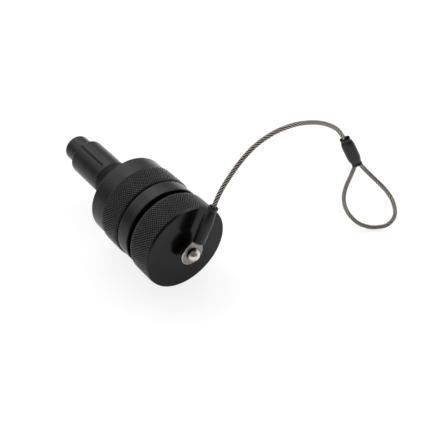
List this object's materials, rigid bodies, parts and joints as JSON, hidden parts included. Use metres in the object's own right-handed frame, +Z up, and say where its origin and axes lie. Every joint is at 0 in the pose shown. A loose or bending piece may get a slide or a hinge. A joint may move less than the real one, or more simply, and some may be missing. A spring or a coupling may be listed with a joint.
{
  "type": "hdmi connector",
  "caption": "Sealed round cable connector for a video lead: cable gland, knurled coupling ring over a video plug, and a screw cap on a wire-rope lanyard that ends in a crimped loop.",
  "frame": {"origin": "on the surface it lies on, under the middle of the connector's length without its rope", "axes": "+X along the connector's axis towards the cap, +Z up"},
  "size_m": [0.1107, 0.1047, 0.0589],
  "materials": {
    "black_anodised": "satin black anodised",
    "black_matt": "matt black anodised",
    "black_rubber": "matt moulded rubber",
    "bright_steel": "polished stainless steel",
    "spring_steel": "plain rolled steel",
    "plated_metal": "nickel plated",
    "black_sleeve": "black shrunk tubing",
    "insert_plastic": "moulded black plastic",
    "contact_gold": "gold plated",
    "board_green": "solder-masked laminate",
    "rope_steel": "stranded stainless wire",
    "ferrule_alloy": "crimped alloy"
  },
  "bodies": {
    "plug": {"plug_shell": "black_matt", "ring_clip": "spring_steel", "thrust_washer": "spring_steel", "nose_seal_ring": "black_rubber", "insert_block": "insert_plastic", "insert_seal_ring": "black_rubber", "insert_retainer": "plated_metal", "tip_shell": "plated_metal", "tip_housing": "insert_plastic", "upper_contacts": "contact_gold", "lower_contacts": "contact_gold", "solder_board": "board_green", "cable_gland": "black_anodised", "gland_seal_ring": "black_rubber", "cable_seal": "black_rubber", "seal_washer": "spring_steel"},
    "coupling_ring": {"coupling_ring": "black_anodised"},
    "lug_bush": {"lug_bush": "black_sleeve"},
    "cap": {"cap": "black_anodised", "cap_seal_ring": "black_rubber", "cap_rivet": "bright_steel", "rivet_washer": "bright_steel"},
    "lanyard": {"lug": "bright_steel", "lug_sleeve": "black_sleeve", "lanyard_rope": "rope_steel", "loop_ferrule": "ferrule_alloy", "loop_sleeve": "black_sleeve"}
  },
  "joints": [
    {"name": "coupling_turn", "type": "hinge", "parent": "plug", "child": "coupling_ring", "pos_m": [0, 0, 0.018], "axis": [1, 0, 0], "continuous": true},
    {"name": "cap_travel", "type": "slide", "parent": "coupling_ring", "child": "lug_bush", "axis": [1, 0, 0], "range_m": [0, 0.008]},
    {"name": "cap_turn", "type": "hinge", "parent": "lug_bush", "child": "cap", "pos_m": [0, 0, 0.018], "axis": [1, 0, 0], "range_deg": [0, 1150]},
    {"name": "lug_swivel", "type": "hinge", "parent": "lug_bush", "child": "lanyard", "pos_m": [0, 0, 0.018], "axis": [1, 0, 0], "continuous": true}
  ],
  "couplings": [
    {"joint": "cap_travel", "follows": "cap_turn", "m_per_rad": 0.00039789}
  ]
}
